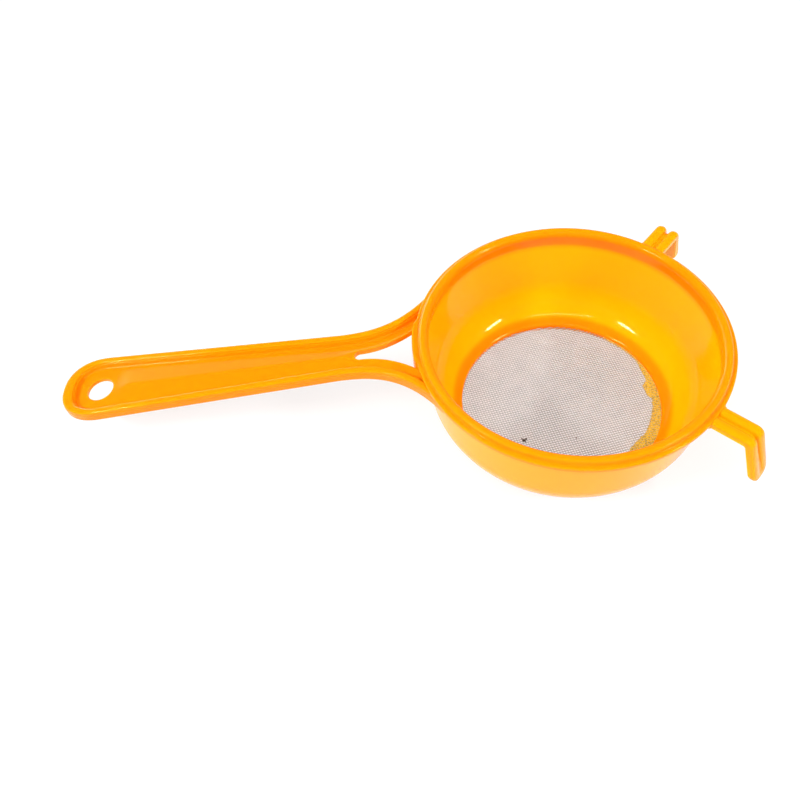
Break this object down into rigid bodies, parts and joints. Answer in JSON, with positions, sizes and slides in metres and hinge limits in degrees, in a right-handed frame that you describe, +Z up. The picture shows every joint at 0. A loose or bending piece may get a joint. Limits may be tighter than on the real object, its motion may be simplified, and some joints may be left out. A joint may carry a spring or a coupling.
{
  "type": "flour sieve",
  "caption": "Hand-held flour sieve: round moulded plastic bowl with a woven wire mesh bottom, a forked channel handle with a hanging hole, and rest hooks.",
  "frame": {"origin": "bottom centre of the whole sieve's bounding box, on the plane that the bowl's base ring stands on", "axes": "+Z up along the bowl's axis, +X from the handle's tip towards the bowl, +Y to the left of someone looking from the handle to the bowl"},
  "size_m": [0.2707, 0.1248, 0.046],
  "materials": {
    "bowl_plastic": "glossy, thin and translucent",
    "solid_plastic": "glossy",
    "wire_cloth": "fine plain-weave wire cloth"
  },
  "bodies": {
    "root": {"bowl": "bowl_plastic", "rim": "solid_plastic", "handle": "solid_plastic", "rest_hook_front": "solid_plastic", "rest_hook_back": "solid_plastic", "wire_mesh": "wire_cloth"}
  },
  "joints": []
}
